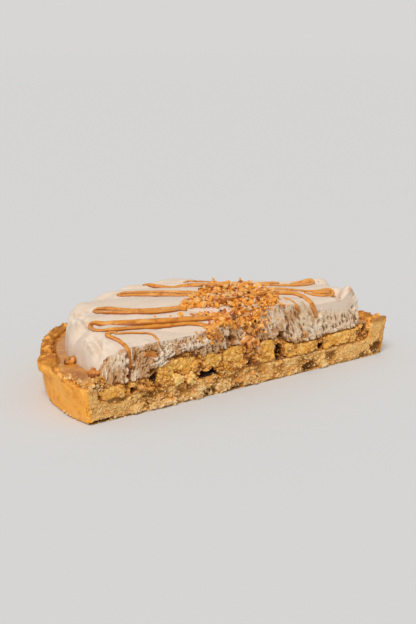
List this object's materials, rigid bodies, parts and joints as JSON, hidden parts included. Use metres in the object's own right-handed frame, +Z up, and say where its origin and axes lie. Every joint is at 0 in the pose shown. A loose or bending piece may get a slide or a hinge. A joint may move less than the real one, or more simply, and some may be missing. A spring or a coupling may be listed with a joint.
{
  "type": "peanut butter tart",
  "caption": "Round peanut butter tart cut straight across: pastry shell, peanut caramel, banana pieces, whipped cream and a heap of chopped nuts.",
  "frame": {"origin": "centre of the tart's round foot, on the flat underside that it stands on; the straight cut is 12.5 mm in front of it", "axes": "+X along the cut, to the right when one looks at the cut; +Y away from the cut, into the tart; +Z up"},
  "size_m": [0.2495, 0.1405, 0.0556],
  "materials": {
    "shortcrust_pastry": "baked shortcrust, crumbly and matte",
    "peanut_caramel": "smooth soft caramel with peanut butter, glossy",
    "whipped_cream": "spread whipped cream, soft satin, porous where cut",
    "caramelised_banana": "soft cooked fruit, moist",
    "roasted_peanut": "broken roasted peanut, waxy",
    "caramelised_nuts": "chopped nuts in hard caramel, glossy",
    "set_caramel": "set caramel, satin to glossy"
  },
  "bodies": {
    "root": {"pastry_shell": "shortcrust_pastry", "peanut_caramel": "peanut_caramel", "cream_topping": "whipped_cream", "chopped_nuts": "caramelised_nuts", "banana_piece_1": "caramelised_banana", "banana_piece_2": "caramelised_banana", "banana_piece_3": "caramelised_banana", "banana_piece_4": "caramelised_banana", "banana_piece_5": "caramelised_banana", "banana_piece_6": "caramelised_banana", "banana_piece_7": "caramelised_banana", "banana_piece_8": "caramelised_banana", "peanut_half_1": "roasted_peanut", "peanut_half_2": "roasted_peanut", "caramelised_nut_1": "caramelised_nuts", "caramelised_nut_2": "caramelised_nuts", "caramel_curl": "set_caramel"}
  },
  "joints": []
}
